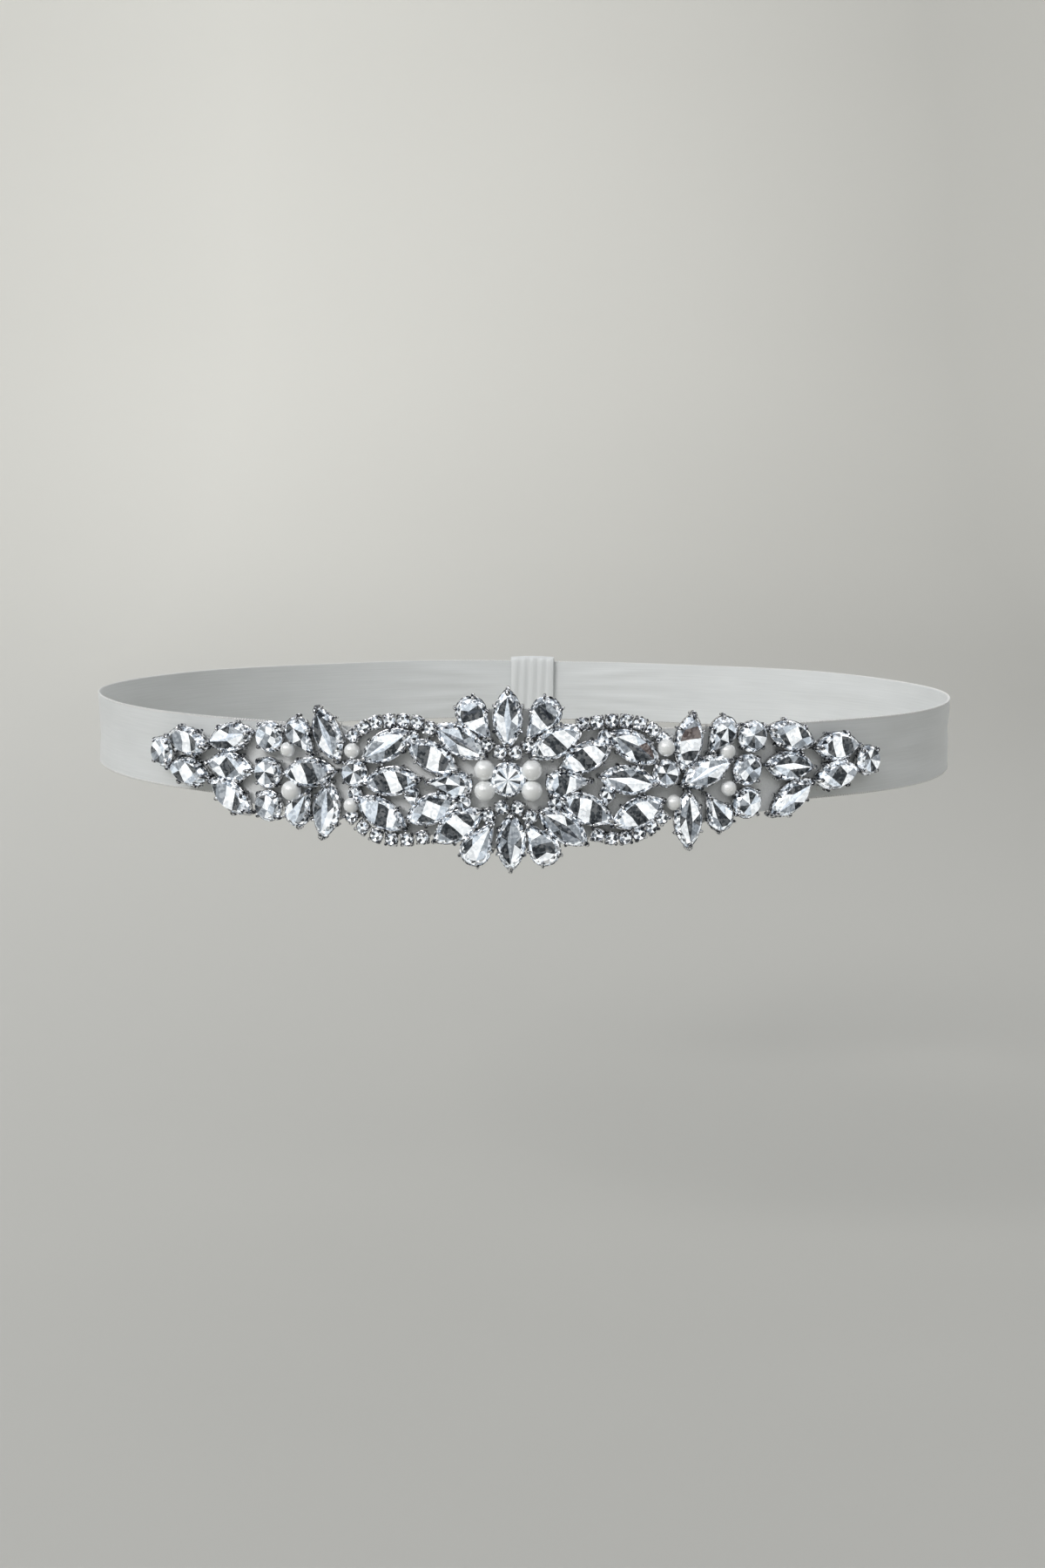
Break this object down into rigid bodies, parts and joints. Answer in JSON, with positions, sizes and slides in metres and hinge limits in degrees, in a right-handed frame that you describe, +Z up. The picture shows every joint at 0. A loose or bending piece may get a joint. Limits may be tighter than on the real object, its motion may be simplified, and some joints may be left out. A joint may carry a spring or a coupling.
{
  "type": "bridal sash",
  "caption": "Satin ribbon sash tied round the waist, with a long front trim of claw-set stones, pearls and cup chain sewn on a thin backing.",
  "frame": {"origin": "middle of the waist ring, at half the ribbon's width, where the wearer's waist holds the sash", "axes": "+Z up, the wearer faces -Y with the trim, and +X is the wearer's left"},
  "size_m": [0.254, 0.2074, 0.0781],
  "materials": {
    "satin": "silver-white satin",
    "felt": "matte felt",
    "crystal": "foiled clear crystal",
    "chain": "polished silver plate"
  },
  "bodies": {
    "root": {"centre_cluster": "crystal", "chain_left_lower": "chain", "chain_left_upper": "chain", "chain_right_lower": "chain", "chain_right_upper": "chain", "petals_bottom": "crystal", "petals_top": "crystal", "ribbon_band": "satin", "ribbon_knot": "satin", "ribbon_tail_left": "satin", "ribbon_tail_right": "satin", "stone_left_fan_inner_high": "crystal", "stone_left_fan_inner_low": "crystal", "stone_left_fan_inner_lower": "crystal", "stone_left_fan_inner_middle": "crystal", "stone_left_fan_inner_upper": "crystal", "stone_left_fan_outer_lower": "crystal", "stone_left_fan_outer_middle": "crystal", "stone_left_fan_outer_upper": "crystal", "stone_left_flower_bottom": "crystal", "stone_left_flower_heart": "crystal", "stone_left_flower_pear_lower": "crystal", "stone_left_flower_pear_upper": "crystal", "stone_left_flower_side": "crystal", "stone_left_flower_top": "crystal", "stone_left_leaf_lower": "crystal", "stone_left_leaf_middle": "crystal", "stone_left_leaf_upper": "crystal", "stone_left_row_lower": "crystal", "stone_left_row_middle": "crystal", "stone_left_row_upper": "crystal", "stone_left_spray_lower": "crystal", "stone_left_spray_upper": "crystal", "stone_left_tip_round": "crystal", "stone_right_fan_inner_high": "crystal", "stone_right_fan_inner_low": "crystal", "stone_right_fan_inner_lower": "crystal", "stone_right_fan_inner_middle": "crystal", "stone_right_fan_inner_upper": "crystal", "stone_right_fan_outer_lower": "crystal", "stone_right_fan_outer_middle": "crystal", "stone_right_fan_outer_upper": "crystal", "stone_right_flower_bottom": "crystal", "stone_right_flower_heart": "crystal", "stone_right_flower_pear_lower": "crystal", "stone_right_flower_pear_upper": "crystal", "stone_right_flower_side": "crystal", "stone_right_flower_top": "crystal", "stone_right_leaf_lower": "crystal", "stone_right_leaf_middle": "crystal", "stone_right_leaf_upper": "crystal", "stone_right_row_lower": "crystal", "stone_right_row_middle": "crystal", "stone_right_row_upper": "crystal", "stone_right_spray_lower": "crystal", "stone_right_spray_upper": "crystal", "stone_right_tip_round": "crystal", "trim_backing": "felt"}
  },
  "joints": []
}
